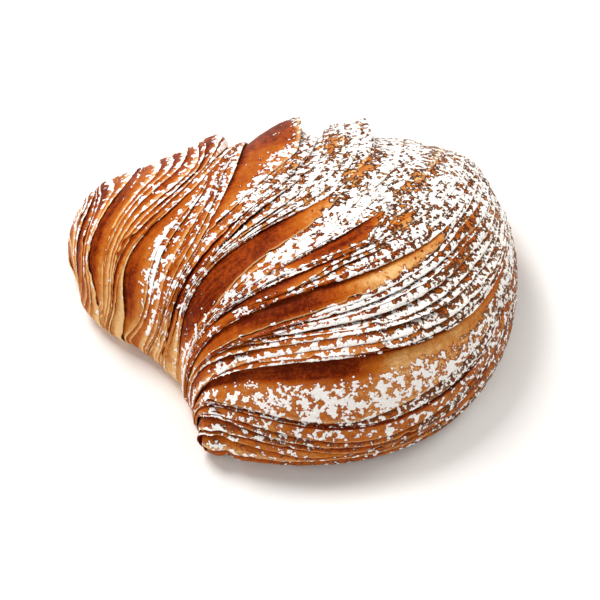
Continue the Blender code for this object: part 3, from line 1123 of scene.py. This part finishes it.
def make_core(node):
    """The body below the plies: the solid's own surface, drawn in towards the middle of its sole."""
    body = bmesh.new()
    body.from_mesh(node.data)
    bmesh.ops.remove_doubles(body, verts=body.verts, dist=CORE_WELD * MM)
    body.normal_update()
    for corner in body.verts:
        corner.co *= CORE_SHARE
    mesh = bpy.data.meshes.new("core")
    body.to_mesh(mesh)
    body.free()
    mesh.materials.clear()
    mesh.materials.append(core_paint())
    mesh.shade_smooth()
    core = new_object("core", mesh)
    finish_piece(core, mesh)
    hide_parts("pastry_shell")


def make_plies(shift):
    """All plies, joined into a few pieces from the tip to the mouth."""
    along = np.linspace(-UNDER_ARCH, 1 + UNDER_ARCH, ALONG_STEPS)
    plies, starts = lay_plies(along)
    twists = np.random.default_rng(SEED + 1).random(len(plies))
    sheets = [ply_sheet(ply, along, twist) for ply, twist in zip(plies, twists)]
    cuts = (0, *(starts[band] for band in PIECE_BANDS), len(plies))
    group = ply_tree(dough_paint())
    pieces = []
    for name, first, last in zip(PLY_PIECES, cuts, cuts[1:]):
        piece = join_sheets(name, sheets[first:last], shift)
        finish_piece(piece, run_tree(piece, group, Seed=CRINKLE_SEED))
        pieces.append(piece)
    return pieces


def make_powder(plies):
    """Sugar grains on all plies, as one piece."""
    powder = new_object("sugar_clumps", bpy.data.meshes.new("sugar_clumps"))
    finish_piece(powder, run_tree(powder, powder_tree(plies, sugar_paint()), Seed=SEED))


def make_camera():
    """Looks down at the front of the pastry, from the given distance."""
    elevation = math.radians(CAMERA_ELEVATION)
    back = Vector((0, -math.cos(elevation), math.sin(elevation)))
    up = Vector((0, math.sin(elevation), math.cos(elevation)))
    data = bpy.data.cameras.new("camera")
    data.sensor_width = 36
    data.lens = CAMERA_LENS
    data.clip_end = 10
    camera = new_object("camera", data)
    aim = Vector(CAMERA_TARGET) + Vector((CAMERA_RIGHT * MM, 0, 0)) - up * CAMERA_DOWN * MM
    camera.location = aim + back * CAMERA_DISTANCE
    camera.rotation_euler = (-back).to_track_quat("-Z", "Y").to_euler()
    bpy.context.scene.camera = camera


def area_light(name, place, size, power, color):
    """A square soft light that faces the pastry."""
    data = bpy.data.lights.new(name, "AREA")
    data.size = size
    data.energy = power
    data.color = color
    lamp = new_object(name, data)
    lamp.location = place
    lamp.rotation_euler = (Vector(LIGHTS_AIM) - Vector(place)).to_track_quat("-Z", "Y").to_euler()


def make_floor():
    bpy.ops.mesh.primitive_plane_add(size=6, location=(0, 0, 0))
    floor = bpy.context.object
    floor.name = "floor"
    paint = Paint("pale_floor")
    paint.set("Base Color", (0.93, 0.93, 0.93, 1))
    paint.set("Roughness", 0.9)
    floor.data.materials.append(paint.material)


def make_studio():
    scene = bpy.context.scene
    scene.view_settings.view_transform = "Standard"
    scene.world = bpy.data.worlds.new("studio")
    scene.world.use_nodes = True
    sky = scene.world.node_tree.nodes["Background"]
    sky.inputs["Color"].default_value = (1, 0.985, 0.965, 1)
    sky.inputs["Strength"].default_value = 0.45
    area_light("key", (-0.36, 0.30, 0.80), 0.40, 7.2, (1, 0.985, 0.96))
    area_light("fill", (-0.35, -0.65, 0.45), 0.6, 1.6, (1, 0.94, 0.87))
    area_light("far_side", (0.60, 0.35, 0.50), 0.4, 3.0, (1, 0.94, 0.86))


def main():
    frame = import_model()
    cad_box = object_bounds()
    # The body's rim starts where the solid's box does.
    shift = np.array([cad_box[0].x / MM - RIM.low[0], cad_box[0].y / MM - RIM.low[1], 0])
    make_studio()
    make_floor()
    make_core(frame["nodes"]["pastry_shell"])
    plies = make_plies(shift)
    make_powder(plies)
    make_camera()


main()
